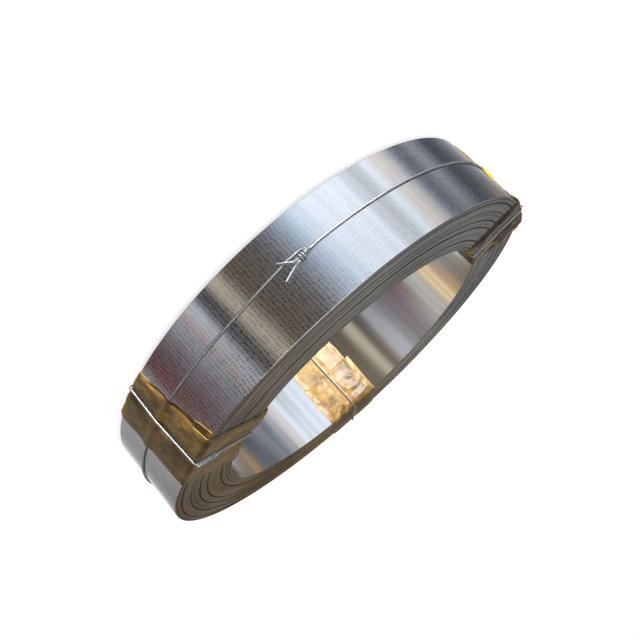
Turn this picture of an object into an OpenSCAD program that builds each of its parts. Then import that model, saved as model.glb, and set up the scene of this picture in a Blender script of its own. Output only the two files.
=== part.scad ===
// Coil of narrow steel strip, wound tight and bound for transport.
// One girth wire runs round the tread. Three tie wires pass through the bore, each over a wrap of
// waxed kraft paper that keeps the wire off the edges of the strip.
// The coil lies on its end: +Z is the coil's axis, and the origin is on the floor under the bore.

/* [Coil] */
// Bore of the coil
bore_d = 300; // [200:1:400]
// Width of the strip
strip_w = 76; // [50:1:120]
// Thickness of the strip
strip_t = 0.9; // [0.6:0.1:1.5]
// Turns wound on the coil
turns = 65; // [40:1:90]
// How far the edges of the turns stray along the axis
edge_stray = 0.8; // [0:0.1:1.5]
// Depth of the groove between the rounded edges of two turns
groove_h = 0.3; // [0.1:0.05:0.5]

/* [Binding] */
// Diameter of the binding wire
wire_d = 1.6; // [1:0.1:2]
// Height of the girth wire above the lower edge of the strip
girth_h = 33; // [25:1:40]
// Direction of the girth wire's knot
knot_angle = -95; // [-110:1:-80]
// Thickness of a paper wrap, its layers pressed together
paper_t = 0.8; // [0.4:0.1:1.2]
// Width of a paper wrap
paper_w = 62; // [40:1:80]
// Direction of the first tie
tie_angle_1 = -50; // [-65:1:-35]
// Direction of the second tie
tie_angle_2 = 78; // [60:1:100]
// Direction of the third tie
tie_angle_3 = 188; // [170:1:205]

/* [Hidden] */
$fn = 96;

// Clearance between pieces that lie on each other
seat = 0.1;
steel_color = "#8d9398";
wire_color = "#c8ccd0";
paper_color = "#8f6d33";

// Strip coil: it stands clear of the floor by the thickness of a tie wire and its paper
wire_r = wire_d / 2;
coil_low = wire_d + paper_t + 2 * seat;
coil_high = coil_low + strip_w + edge_stray;
bore_r = bore_d / 2;
coil_r = bore_r + turns * strip_t;

// Groups of turns slipped along the axis as the coil was wound, and single turns stray in them
slip_turn_1 = floor(0.40 * turns);
slip_turn_2 = floor(0.78 * turns);
function group_slip(i) = i < slip_turn_1 ? 0.35 : i < slip_turn_2 ? 0 : 0.6;
function turn_slip(i) = edge_stray * (group_slip(i) + 0.4 * pow(sin(137.5 * i), 2));
function turn_low(i) = coil_low + turn_slip(i);
function turn_high(i) = turn_low(i) + strip_w;
function turn_r(i) = bore_r + i * strip_t;

// Paper wraps
paper_bend = paper_t + 0.4;
tent_run = 7;
girth_z = coil_low + girth_h;
girth_r = coil_r + seat + wire_r;
tent_r = girth_r + wire_r + seat;

// Tie wires: their runs lie on the paper, and bow out where the girth wire passes under it
wire_bend = paper_bend + seat + wire_r;
lift = paper_t + 2 * seat + wire_r;
run_in = bore_r - lift;
run_out = coil_r + lift;
run_low = coil_low - lift;
run_high = coil_high + lift;
bow_r = tent_r + paper_t + seat + wire_r;
bow_half = 2;

// Twisted pigtail of a tie: two strands wound round an axis that lies beside the wire's own run
twist_turns = 2;
twist_pitch = 3.4 * wire_d;
twist_r = wire_r + seat / 2;
twist_start = 3;
twist_side = -2.6;
twist_lift = twist_r + seat / 2;
twist_end = twist_start + twist_turns * twist_pitch;

// Points of the pigtail: along the side from the corner, sideways, and out from the wire's run
hook_points = [
    [5.6, 0, 0], [3.6, -0.05, 0.2], [2.2, -0.45, 0.75],
    [1.5, -1.2, 1.35], [1.65, -2, 1.75], [2.4, -2.5, 1.85]
];
tail_1_points = [[1.1, -0.3, 0.1], [1.8, -1.3, 0.3], [1.9, -2.9, 0.7], [1.6, -6.4, 1.8]];
tail_2_points = [[1.5, 0.4, 1.9], [3.5, 0.6, 1.8], [8, 0.2, 1.6]];

// Points of the girth knot: along the tread from the knot's middle, up the tread, and out from it
eye_points = [
    [10.2, -6.5, 1.2], [7.8, -4.6, 1.7], [5.5, -2.8, 1.85], [3, -0.8, 1.85], [0.8, 0.8, 1.8],
    [-0.7, 1.4, 1.8], [-2.5, 1.5, 1.8], [-6, 1.5, 1.8], [-9.4, 1.5, 1.8], [-10.8, 1.1, 1.45],
    [-11.6, 0.1, 0.95], [-11.9, -1.1, 0.6], [-11.3, -2.2, 0.3], [-10, -2.9, 0.1], [-8, -3.15, 0],
    [-2, -3.2, 0], [5, -3.2, 0]
];
rise_points = [[-18, 0.4, 0], [-14.5, 0.7, 1], [-12.3, 1, 2.4], [-10.9, 1.3, 3.3]];
knot_tail_points = [[-2.2, 3.5, 1.5], [0.7, 3.9, 1.2], [6, 5.8, 1.4], [13, 8.3, 2.2]];
wrap_turns = 2.75;
wrap_start = -9.8;
wrap_pitch = 1.3 * wire_d;
wrap_r = wire_d + 2 * seat;
wrap_mid = [1.5, 1.8];
ring_start = 3;
ring_end = 354;
ring_step = 2.7;
eye_drop = 3.2;
drop_end = 18;

sides = 8;
bend_steps = 4;
helix_steps = 10;

function reversed(list) = [for (i = [len(list) - 1 : -1 : 0]) list[i]];
function unit(v) = v / norm(v);

// A wire along a path: rings of points whose frame is carried along without twisting
function tangent(path, i) = unit(path[min(i + 1, len(path) - 1)] - path[max(i - 1, 0)]);
function across(normal, along) = unit(normal - (normal * along) * along);
function carried(path, normal, i = 0) =
    i == len(path) ? [] :
    let (here = across(normal, tangent(path, i)))
    concat([here], carried(path, here, i + 1));

module wire(path, first_normal) {
    normals = carried(path, first_normal);
    points = [
        for (i = [0 : len(path) - 1])
            let (along = tangent(path, i), other = cross(along, normals[i]))
            for (k = [0 : sides - 1])
                path[i] + wire_r * (cos(360 * k / sides) * normals[i] + sin(360 * k / sides) * other)
    ];
    walls = [
        for (i = [0 : len(path) - 2], k = [0 : sides - 1])
            let (next = (k + 1) % sides)
            [i * sides + k, (i + 1) * sides + k, (i + 1) * sides + next, i * sides + next]
    ];
    last = (len(path) - 1) * sides;
    caps = [[for (k = [0 : sides - 1]) k], [for (k = [sides - 1 : -1 : 0]) last + k]];
    polyhedron(points = points, faces = concat(walls, caps), convexity = 10);
}

// Strip coil: a turned section whose two ends carry the edge of every turn
function high_groove(i) =
    [turn_r(i), min(turn_high(max(i - 1, 0)), turn_high(min(i, turns - 1))) - groove_h];
function low_groove(i) =
    [turn_r(i), max(turn_low(max(i - 1, 0)), turn_low(min(i, turns - 1))) + groove_h];
function crown(i, z) = [[turn_r(i) + 0.25 * strip_t, z], [turn_r(i) + 0.75 * strip_t, z]];

module strip_coil() {
    high_end = [
        for (i = [0 : turns - 1])
            for (p = concat([high_groove(i)], crown(i, turn_high(i)))) p
    ];
    low_end = [
        for (i = [0 : turns - 1])
            for (p = concat([low_groove(i)], crown(i, turn_low(i)))) p
    ];
    section = concat(high_end, [high_groove(turns), low_groove(turns)], reversed(low_end));
    color(steel_color) rotate_extrude() polygon(section);
}

// Girth wire: it starts at the eye's tail, runs round the tread and ends wound on the eye
function on_tread(p) =
    let (angle = knot_angle + p[0] / coil_r * 180 / PI, r = girth_r + p[2])
    [r * cos(angle), r * sin(angle), girth_z + p[1]];
function ring_drop(turned) = eye_drop * pow(1 - min(turned / drop_end, 1), 1.5);
function ring_point(turned) =
    let (angle = knot_angle + turned)
    [girth_r * cos(angle), girth_r * sin(angle), girth_z - ring_drop(turned)];
function wrap_point(i) =
    let (turned = 360 * i / helix_steps, q = 90 + turned)
    on_tread([
        wrap_start + wrap_pitch * turned / 360,
        wrap_mid[0] + wrap_r * cos(q),
        wrap_mid[1] + wrap_r * sin(q)
    ]);

module girth_wire() {
    path = concat(
        [for (p = eye_points) on_tread(p)],
        [for (turned = [ring_start : ring_step : ring_end]) ring_point(turned)],
        [for (p = rise_points) on_tread(p)],
        [for (i = [0 : wrap_turns * helix_steps]) wrap_point(i)],
        [for (p = knot_tail_points) on_tread(p)]
    );
    color(wire_color) wire(path, [0, 0, 1]);
}

// Paper wrap: a closed band round the section, raised into a ridge over the girth wire
module rounded_section() {
    low = coil_low - seat - paper_t;
    high = coil_high + seat + paper_t;
    inner = bore_r - seat - paper_t;
    outer = coil_r + seat + paper_t;
    translate([inner + paper_bend, low]) square([outer - inner - 2 * paper_bend, high - low]);
    translate([inner, low + paper_bend]) square([outer - inner, high - low - 2 * paper_bend]);
    for (r = [inner + paper_bend, outer - paper_bend], z = [low + paper_bend, high - paper_bend])
        translate([r, z]) circle(r = paper_bend);
}

module girth_tent(grow) {
    half = tent_run + grow;
    polygon([
        [coil_r, girth_z - half], [tent_r + grow, girth_z - wire_r],
        [tent_r + grow, girth_z + wire_r], [coil_r, girth_z + half]
    ]);
}

module paper_section() {
    difference() {
        union() {
            rounded_section();
            girth_tent(paper_t);
        }
        translate([bore_r - seat, coil_low - seat])
            square([coil_r - bore_r + 2 * seat, coil_high - coil_low + 2 * seat]);
        girth_tent(0);
    }
}

module paper_wrap(angle) {
    color(paper_color) rotate([0, 0, angle]) intersection() {
        rotate_extrude() paper_section();
        translate([bore_r / 2, -paper_w / 2, 0]) cube([coil_r, paper_w, coil_high + lift]);
    }
}

// Tie wire: the pigtail lies on the upper end of the coil, or on the tread below that end
function beside(p, on_end) =
    on_end ? [run_out - p[0], p[1], run_high + p[2]] : [run_out + p[2], p[1], run_high - p[0]];
function twist(phase, on_end) = [
    for (i = [0 : twist_turns * helix_steps])
        let (q = phase + 360 * i / helix_steps)
        beside([
            twist_start + twist_pitch * i / helix_steps,
            twist_side + twist_r * cos(q),
            twist_lift + twist_r * sin(q)
        ], on_end)
];
function tail(points, on_end) =
    [for (p = points) beside([twist_end + p[0], twist_side + p[1], p[2]], on_end)];
function bend(r, z, from, to) = [
    for (i = [0 : bend_steps])
        let (q = from + (to - from) * i / bend_steps)
        [r + wire_bend * cos(q), 0, z + wire_bend * sin(q)]
];
function over_corner(on_end) = [
    for (i = [0 : bend_steps])
        let (q = 90 * i / bend_steps)
        beside([wire_bend * (1 - sin(q)), twist_side, wire_bend * (cos(q) - 1)], on_end)
];
function bow(side) = [for (up = [-1, 1]) [bow_r, side, girth_z + up * bow_half]];

module tie_wire(angle, on_end) {
    inside = run_in + wire_bend;
    outside = run_out - wire_bend;
    below = run_low + wire_bend;
    above = run_high - wire_bend;
    loop = on_end
        ? concat(reversed(bow(twist_side / 2)), bend(outside, below, 0, -90),
                 bend(inside, below, -90, -180), bend(inside, above, 180, 90))
        : concat(bend(inside, above, 90, 180), bend(inside, below, 180, 270),
                 bend(outside, below, 270, 360), bow(0));
    path = concat(
        reversed(tail(tail_1_points, on_end)),
        reversed(twist(-90, on_end)),
        over_corner(on_end),
        loop,
        [for (p = hook_points) beside(p, on_end)],
        twist(90, on_end),
        tail(tail_2_points, on_end)
    );
    color(wire_color) rotate([0, 0, angle]) wire(path, [0, 1, 0]);
}

module paper_wrap_1() { paper_wrap(tie_angle_1); }
module paper_wrap_2() { paper_wrap(tie_angle_2); }
module paper_wrap_3() { paper_wrap(tie_angle_3); }
module tie_wire_1() { tie_wire(tie_angle_1, true); }
module tie_wire_2() { tie_wire(tie_angle_2, false); }
module tie_wire_3() { tie_wire(tie_angle_3, false); }

strip_coil();
girth_wire();
paper_wrap_1();
paper_wrap_2();
paper_wrap_3();
tie_wire_1();
tie_wire_2();
tie_wire_3();
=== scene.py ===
"""Steel strip coil bound with wire over waxed paper: finish, wires, papers, light and camera."""

import math
from collections import namedtuple

import bpy
import numpy as np
from mathutils import Matrix, Vector, noise


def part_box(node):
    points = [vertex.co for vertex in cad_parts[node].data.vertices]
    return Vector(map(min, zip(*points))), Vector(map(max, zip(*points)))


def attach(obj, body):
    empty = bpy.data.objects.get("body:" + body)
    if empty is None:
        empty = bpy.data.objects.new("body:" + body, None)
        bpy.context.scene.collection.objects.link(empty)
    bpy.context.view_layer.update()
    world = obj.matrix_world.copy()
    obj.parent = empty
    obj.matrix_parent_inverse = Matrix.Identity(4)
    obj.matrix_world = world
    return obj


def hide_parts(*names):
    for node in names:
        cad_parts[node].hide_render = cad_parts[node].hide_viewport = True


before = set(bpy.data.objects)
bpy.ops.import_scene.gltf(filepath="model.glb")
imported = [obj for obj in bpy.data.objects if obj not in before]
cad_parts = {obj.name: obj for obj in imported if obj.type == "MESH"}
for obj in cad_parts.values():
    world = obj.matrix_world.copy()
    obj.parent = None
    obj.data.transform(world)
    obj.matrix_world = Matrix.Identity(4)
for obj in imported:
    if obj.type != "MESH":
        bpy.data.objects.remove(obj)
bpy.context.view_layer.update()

# Sizes in millimetres, in the frame of the solids
MM = 0.001
coil_low_corner, coil_high_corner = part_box("strip_coil")
OUTER_R = coil_high_corner.x / MM
COIL_LOW = coil_low_corner.z / MM
COIL_HIGH = coil_high_corner.z / MM
BORE_R = 150.0
TURNS = 65
STRIP_W = 76.0
STRIP_T = (OUTER_R - BORE_R) / TURNS
EDGE_STRAY = COIL_HIGH - COIL_LOW - STRIP_W
GROOVE = 0.3
COIL_SEGMENTS = 240

WIRE_D = 1.6
WIRE_R = WIRE_D / 2
WIRE_SIDES = 14
SEAT = 0.1
PAPER_T = 0.8
GIRTH_Z = COIL_LOW + 33.0
GIRTH_R = OUTER_R + SEAT + WIRE_R
KNOT_ANGLE = -95.0


# Node trees

class Net:
    """A node tree, with short ways to add nodes to it."""

    def __init__(self, tree):
        self.tree = tree

    def put(self, socket, value):
        if isinstance(value, bpy.types.NodeSocket):
            self.tree.links.new(value, socket)
        else:
            socket.default_value = value

    def add(self, kind, inputs=None, **settings):
        node = self.tree.nodes.new(kind)
        for name, value in settings.items():
            setattr(node, name, value)
        for key, value in (inputs or {}).items():
            self.put(node.inputs[key], value)
        return node

    def math(self, operation, *values, clamp=False):
        inputs = dict(enumerate(values))
        return self.add("ShaderNodeMath", inputs, operation=operation, use_clamp=clamp).outputs[0]

    def plus(self, a, b, clamp=False):
        return self.math("ADD", a, b, clamp=clamp)

    def minus(self, a, b):
        return self.math("SUBTRACT", a, b)

    def times(self, a, b):
        return self.math("MULTIPLY", a, b)

    def either(self, choice, a, b):
        """Number a where choice is 1, and b where it is 0."""
        return self.plus(self.times(a, choice), self.times(b, self.minus(1.0, choice)))

    def vectors(self, operation, *values):
        """Vector arithmetic: a length or a dot product is a number, anything else a vector."""
        node = self.add("ShaderNodeVectorMath", dict(enumerate(values)), operation=operation)
        return node.outputs["Value" if operation in ("LENGTH", "DOT_PRODUCT") else "Vector"]

    def scaled(self, vector, amount):
        inputs = {0: vector, "Scale": amount}
        return self.add("ShaderNodeVectorMath", inputs, operation="SCALE").outputs["Vector"]

    def parts(self, vector):
        return self.add("ShaderNodeSeparateXYZ", {"Vector": vector}).outputs

    def span(self, value, low, high, to_low=0.0, to_high=1.0, smooth=True):
        """value, from low..high to to_low..to_high, held at both ends."""
        kind = "SMOOTHSTEP" if smooth else "LINEAR"
        inputs = {"Value": value, "From Min": low, "From Max": high, "To Min": to_low, "To Max": to_high}
        return self.add("ShaderNodeMapRange", inputs, interpolation_type=kind).outputs["Result"]

    def vector(self, x, y, z):
        return self.add("ShaderNodeCombineXYZ", {"X": x, "Y": y, "Z": z}).outputs["Vector"]

    def noise(self, vector, scale, detail=2.0, roughness=0.5):
        inputs = {"Vector": vector, "Scale": scale, "Detail": detail, "Roughness": roughness}
        return self.add("ShaderNodeTexNoise", inputs).outputs["Fac"]

    def blend(self, share, a, b):
        """Colour a where share is 0, and b where it is 1."""
        node = self.add("ShaderNodeMix", data_type="RGBA")
        self.put(node.inputs["Factor"], share)
        for socket, value in zip([s for s in node.inputs if s.type == "RGBA"], (a, b)):
            self.put(socket, value)
        return next(s for s in node.outputs if s.type == "RGBA")

    def ramp(self, value, stops):
        node = self.add("ShaderNodeValToRGB", {"Fac": value})
        marks = node.color_ramp.elements
        while len(marks) < len(stops):
            marks.new(1.0)
        for mark, (place, colour) in zip(marks, stops):
            mark.position = place
            mark.color = colour
        return node.outputs["Color"]

    def attribute(self, name):
        return self.add("ShaderNodeAttribute", attribute_name=name).outputs["Fac"]

    def bump(self, shader, height, strength, distance):
        """Relief on a shader's surface, distance mm high."""
        inputs = {"Height": height, "Strength": strength, "Distance": distance * MM}
        self.put(shader["Normal"], self.add("ShaderNodeBump", inputs).outputs["Normal"])


def grey(value):
    return (value, value, value, 1.0)


def new_group(name, kind, inputs, outputs):
    """An empty node group with named sockets, and its input and output nodes."""
    tree = bpy.data.node_groups.new(name, kind)
    for socket_name, socket_kind in inputs:
        tree.interface.new_socket(socket_name, in_out="INPUT", socket_type=socket_kind)
    for socket_name, socket_kind in outputs:
        tree.interface.new_socket(socket_name, in_out="OUTPUT", socket_type=socket_kind)
    net = Net(tree)
    return net, net.add("NodeGroupInput").outputs, net.add("NodeGroupOutput").inputs


def new_material(name):
    material = bpy.data.materials.new(name)
    material.use_nodes = True
    net = Net(material.node_tree)
    return material, net, net.tree.nodes["Principled BSDF"].inputs


# Effects that several materials share

def object_place(net):
    return net.add("ShaderNodeTexCoord").outputs["Object"]


def coil_place_group():
    """Where a point is on the coil: share of a turn, distance from the axis and height, in mm."""
    net, _, out = new_group(
        "coil place", "ShaderNodeTree", [],
        [("Turn", "NodeSocketFloat"), ("Radius", "NodeSocketFloat"), ("Height", "NodeSocketFloat"),
         ("Round", "NodeSocketVector")],
    )
    x, y, z = net.parts(object_place(net))
    angle = net.math("ARCTAN2", y, x)
    radius = net.math("SQRT", net.plus(net.times(x, x), net.times(y, y)))
    net.put(out["Turn"], net.plus(net.math("DIVIDE", angle, 2 * math.pi), 0.5))
    net.put(out["Radius"], net.math("DIVIDE", radius, MM))
    net.put(out["Height"], net.math("DIVIDE", z, MM))
    net.put(out["Round"], net.vector(net.math("COSINE", angle), net.math("SINE", angle), 0.0))
    return net.tree


def mottle_group():
    """Soft uneven patches, from 0 to 1."""
    net, given, out = new_group(
        "mottle", "ShaderNodeTree",
        [("Vector", "NodeSocketVector"), ("Scale", "NodeSocketFloat"), ("Contrast", "NodeSocketFloat")],
        [("Patches", "NodeSocketFloat")],
    )
    cloud = net.noise(given["Vector"], given["Scale"], detail=3.0)
    spread = net.times(net.minus(cloud, 0.5), given["Contrast"])
    net.put(out["Patches"], net.plus(spread, 0.5, clamp=True))
    return net.tree


coil_place = coil_place_group()
mottle = mottle_group()


def use_place(net):
    return net.add("ShaderNodeGroup", node_tree=coil_place).outputs


def patches(net, vector, scale, contrast):
    inputs = {"Vector": vector, "Scale": scale, "Contrast": contrast}
    return net.add("ShaderNodeGroup", inputs, node_tree=mottle).outputs["Patches"]


# Finishes

# Rolled pattern: rows of cells round the tread, the height of a cell in mm, and the rows from one bright
# rail to the next
PATTERN_ROWS = 397.0
CELL_PITCH = 2.55
RAIL_EVERY = 3.0
# How far two sizes of waviness, coarse and fine, shift the pattern's rows and cells, in rows and cells
ROW_WOBBLE = 0.9
ROW_SHIVER = 0.45
CELL_WOBBLE = 1.2
CELL_SHIVER = 0.55
LINE_TONE = (0.80, 0.80, 0.81, 1.0)
CELL_TONE = (0.38, 0.38, 0.39, 1.0)
# Side of the tread on which the rolled pattern is made fainter, so the tread is paler there
FAINT_PATTERN_ANGLE = math.radians(-112)
FAINT_PATTERN_SIDE = (math.cos(FAINT_PATTERN_ANGLE), math.sin(FAINT_PATTERN_ANGLE), 0.0)


def bright_strip_material():
    """The rolled face of the strip: a fine net of lines round dark cells on the tread, a bright bore."""
    material, net, shader = new_material("bright_strip")
    place = use_place(net)
    at = object_place(net)
    wobble = net.minus(net.noise(at, 150.0), 0.5)
    shiver = net.minus(net.noise(at, 620.0, detail=1.0), 0.5)
    rows = net.plus(net.times(place["Turn"], PATTERN_ROWS), net.times(wobble, ROW_WOBBLE))
    rows = net.plus(rows, net.times(shiver, ROW_SHIVER))
    row = net.math("FLOOR", rows)
    in_row = net.minus(net.math("FRACT", rows), 0.5)
    odd = net.times(net.math("MODULO", row, 2.0), 0.5)
    cells = net.plus(net.math("DIVIDE", place["Height"], CELL_PITCH), odd)
    cells = net.plus(cells, net.times(wobble, CELL_WOBBLE))
    cells = net.minus(cells, net.times(shiver, CELL_SHIVER))
    in_cell = net.minus(net.math("FRACT", cells), 0.5)
    cell = net.vector(row, net.math("FLOOR", cells), 0.0)
    own = net.add("ShaderNodeTexWhiteNoise", {"Vector": cell}, noise_dimensions="2D").outputs["Value"]
    from_middle = net.vectors("LENGTH", net.vector(in_row, in_cell, 0.0))
    dark = net.span(from_middle, 0.32, 0.54, 1.0, 0.0)
    dark = net.times(dark, net.span(own, 0.0, 1.0, 0.55, 1.0))
    rail = net.span(net.math("PINGPONG", rows, RAIL_EVERY / 2), 0.0, 0.22, 1.0, 0.0)
    dark = net.times(dark, net.minus(1.0, rail))
    tread = net.span(place["Radius"], OUTER_R - 2.0, OUTER_R - 1.0)
    worn = net.span(patches(net, at, 16.0, 2.2), 0.0, 1.0, 0.6, 1.0)
    faint_side = net.span(net.vectors("DOT_PRODUCT", place["Round"], FAINT_PATTERN_SIDE), 0.94, 0.99)
    worn = net.times(worn, net.span(faint_side, 0.0, 1.0, 1.0, 0.3))
    pressed = net.times(tread, worn)
    dark = net.times(dark, pressed)
    net.put(shader["Base Color"], net.blend(net.times(dark, 0.9), LINE_TONE, CELL_TONE))
    shader["Metallic"].default_value = 1.0
    smudge = net.span(patches(net, at, 210.0, 3.0), 0.76, 1.0)
    smudge = net.times(smudge, net.span(patches(net, at, 17.0, 3.4), 0.7, 1.0))
    in_bore = net.span(place["Radius"], BORE_R + 1.0, BORE_R + 2.0, 1.0, 0.0)
    smudge = net.times(smudge, in_bore)
    lines = net.minus(pressed, dark)
    rough = net.plus(net.times(lines, 0.09), 0.13)
    net.put(shader["Roughness"], net.plus(rough, net.times(smudge, 0.12)))
    shader["Anisotropic"].default_value = 0.8
    shader["Anisotropic Rotation"].default_value = 0.25
    tangent = net.add("ShaderNodeTangent", direction_type="RADIAL", axis="Z")
    net.put(shader["Tangent"], tangent.outputs["Tangent"])
    net.bump(shader, dark, 0.04, 0.05)
    return material


# Turns beside which the gap to the next turn is drawn as a strong dark line of painted shade, counted from
# the bore
LOOSE_TURNS = (12, 29, 37, 48, 58)
EDGE_DULL = (0.15, 0.14, 0.12, 1.0)
EDGE_BRIGHT = (0.46, 0.44, 0.40, 1.0)
EDGE_DARK = (0.05, 0.045, 0.04, 1.0)
# Painted shade in the gaps beside loose turns and in the grooves between turns
GAP_PAINTED_SHADE = (0.03, 0.026, 0.022, 1.0)
GROOVE_PAINTED_SHADE = (0.03, 0.03, 0.028, 1.0)
OIL_FILM = (0.86, 0.68, 0.45)


def strip_edge_material():
    """The slit edges of the turns on the two ends: dull, each turn its own tone and its own tilt, with
    painted shade in the gaps and grooves between turns.
    """
    material, net, shader = new_material("strip_edges")
    place = use_place(net)
    turn = net.math("DIVIDE", net.minus(place["Radius"], BORE_R), STRIP_T)
    each = net.add("ShaderNodeTexWhiteNoise", {"W": net.math("FLOOR", turn)}, noise_dimensions="1D")
    one = each.outputs["Value"]
    group = net.noise(net.vector(net.times(turn, 0.23), 0.0, 0.0), 1.0)
    by_turn = net.vector(0.0, 0.0, net.times(turn, 0.7))
    drift = net.noise(net.vectors("ADD", net.scaled(place["Round"], 1.6), by_turn), 1.0)
    swing = net.minus(drift, 0.5)
    in_turn = net.minus(net.math("FRACT", turn), 0.5)
    groove = net.span(net.math("ABSOLUTE", in_turn), 0.28, 0.5)
    strayed = net.plus(turn, net.times(swing, 3.0))
    gaps = 0.0
    for loose in LOOSE_TURNS:
        off = net.math("ABSOLUTE", net.minus(strayed, float(loose)))
        gaps = net.math("MAXIMUM", gaps, net.span(off, 0.4, 1.1, 1.0, 0.0))
    dark_turn = net.math("GREATER_THAN", net.plus(one, net.times(drift, 0.35)), 1.02)
    tone = net.plus(net.times(one, 0.45), net.times(group, 0.6))
    tone = net.plus(tone, net.times(swing, 0.9))
    colour = net.blend(net.span(tone, 0.15, 0.95), EDGE_DULL, EDGE_BRIGHT)
    colour = net.blend(net.times(dark_turn, 0.75), colour, EDGE_DARK)
    # Painted shade in the gaps and grooves between turns
    colour = net.blend(net.times(gaps, 0.85), colour, GAP_PAINTED_SHADE)
    colour = net.blend(net.times(groove, 0.75), colour, GROOVE_PAINTED_SHADE)
    round_x, round_y, _ = net.parts(place["Round"])
    film_side = net.plus(net.times(round_x, 0.8), net.times(round_y, 0.5))
    film = net.span(net.plus(film_side, swing), -0.1, 0.8)
    colour = net.blend(film, colour, net.vectors("MULTIPLY", colour, OIL_FILM))
    net.put(shader["Base Color"], colour)
    # Painted shade: the gaps lose their metal and show black, and dull turns lose some of theirs
    gap_shade_and_dull_turns = net.math("MAXIMUM", net.times(gaps, 0.7), net.times(dark_turn, 0.4))
    net.put(shader["Metallic"], net.minus(1.0, gap_shade_and_dull_turns))
    shader["Specular IOR Level"].default_value = 0.0
    net.put(shader["Roughness"], net.span(one, 0.0, 1.0, 0.28, 0.42))
    net.bump(shader, net.times(swing, in_turn), 0.5, STRIP_T)
    return material


WIRE_DULL = (0.46, 0.48, 0.50, 1.0)
WIRE_BRIGHT = (0.68, 0.70, 0.72, 1.0)
WIRE_SHADED = (0.02, 0.022, 0.024, 1.0)


def wire_material():
    """Drawn steel wire, bright with a little dulling, with painted shade where it lies close against the
    coil.
    """
    material, net, shader = new_material("drawn_wire")
    dull = patches(net, object_place(net), 60.0, 2.0)
    colour = net.blend(dull, WIRE_DULL, WIRE_BRIGHT)
    # Painted shade where the wire lies against the coil, by its contact mark
    net.put(shader["Base Color"], net.blend(net.times(net.attribute("contact"), 0.95), colour, WIRE_SHADED))
    shader["Metallic"].default_value = 1.0
    net.put(shader["Roughness"], net.span(dull, 0.0, 1.0, 0.44, 0.34))
    net.bump(shader, net.noise(object_place(net), 300.0), 0.04, 0.1)
    return material


KRAFT_DEEP = (0.105, 0.054, 0.011, 1.0)
KRAFT_WAXED = (0.37, 0.225, 0.062, 1.0)
KRAFT_BLOT = (0.085, 0.048, 0.014, 1.0)
KRAFT_FIBRE = (0.42, 0.27, 0.085, 1.0)
KRAFT_SCUFF = (0.50, 0.35, 0.14, 1.0)
# Paler cut edge, with a painted highlight on it
KRAFT_EDGE_AND_HIGHLIGHT = (0.52, 0.36, 0.13, 1.0)
# Painted shade, painted shadow and a painted glow of light through the paper, by the shade attribute
KRAFT_PAINTED_SHADE = (0.105, 0.05, 0.004, 1.0)
KRAFT_PAINTED_SHADOW = (0.016, 0.010, 0.004, 1.0)
KRAFT_PAINTED_GLOW = (0.60, 0.28, 0.015, 1.0)
# Large and small folds in the paper: cells to a metre, and the width of a fold as a share of a cell
LARGE_FOLDS = (70.0, 0.05)
SMALL_FOLDS = (190.0, 0.09)
# How far the folds stray from straight lines, in metres
FOLD_STRAY = (0.007, 0.007, 0.007)
# Fibres along and across a sheet
FIBRE_COUNTS = (60.0, 160.0, 0.0)


def paper_folds(net, vector, size):
    cells, width = size
    edges = net.add("ShaderNodeTexVoronoi", {"Vector": vector, "Scale": cells}, feature="DISTANCE_TO_EDGE")
    return net.span(edges.outputs["Distance"], 0.0, width, 1.0, 0.0)


def paper_material():
    """Waxed kraft paper: brown, mottled with wax, paler at its cut edges, with a painted highlight there.

    The shade attribute paints shade and shadow on it, below zero, and a glow of light shining through it,
    above.
    The crinkle attribute is how strongly its folds are scuffed.
    """
    material, net, shader = new_material("waxed_kraft")
    sheet = net.add("ShaderNodeUVMap", uv_map="sheet").outputs["UV"]
    across = net.parts(sheet)["Y"]
    at = object_place(net)
    shade = net.attribute("shade")
    wax = patches(net, at, 48.0, 3.4)
    blots = patches(net, at, 170.0, 3.4)
    fibre = net.noise(net.vectors("MULTIPLY", sheet, FIBRE_COUNTS), 1.0, detail=5.0, roughness=0.6)
    stray = net.add("ShaderNodeTexNoise", {"Vector": at, "Scale": 60.0, "Detail": 2.0}).outputs["Color"]
    bent = net.vectors("MULTIPLY_ADD", stray, FOLD_STRAY, at)
    small = net.times(paper_folds(net, bent, SMALL_FOLDS), 0.5)
    scuffs = net.math("MAXIMUM", paper_folds(net, bent, LARGE_FOLDS), small)
    scuffs = net.times(scuffs, net.attribute("crinkle"))
    scuffed = net.times(scuffs, net.span(patches(net, at, 33.0, 3.0), 0.35, 0.9, 0.0, 0.28))
    colour = net.blend(wax, KRAFT_DEEP, KRAFT_WAXED)
    colour = net.blend(net.times(blots, 0.55), colour, KRAFT_BLOT)
    colour = net.blend(net.span(fibre, 0.45, 0.75, 0.0, 0.4), colour, KRAFT_FIBRE)
    colour = net.blend(scuffed, colour, KRAFT_SCUFF)
    from_edge = net.minus(0.5, net.math("ABSOLUTE", net.minus(across, 0.5)))
    # Paler cut edge along both sides, with a painted highlight on it
    rim = net.span(from_edge, 0.012, 0.006)
    colour = net.blend(net.times(rim, 0.7), colour, KRAFT_EDGE_AND_HIGHLIGHT)
    # Painted shade and shadow below zero, painted glow of light through the paper above zero
    painted_dark = net.times(shade, -1.0)
    colour = net.blend(net.span(painted_dark, 0.0, 0.5), colour, KRAFT_PAINTED_SHADE)
    colour = net.blend(net.span(painted_dark, 0.5, 1.0), colour, KRAFT_PAINTED_SHADOW)
    colour = net.blend(net.span(shade, 0.0, 1.0), colour, KRAFT_PAINTED_GLOW)
    net.put(shader["Base Color"], colour)
    net.put(shader["Roughness"], net.span(wax, 0.0, 1.0, 0.38, 0.55))
    shader["Specular IOR Level"].default_value = 0.3
    shader["Coat Weight"].default_value = 0.25
    shader["Coat Roughness"].default_value = 0.25
    net.bump(shader, net.minus(net.times(fibre, 0.5), scuffs), 0.25, 0.3)
    return material


# Strip coil: every turn's edge on both ends, the tread and the bore

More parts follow.
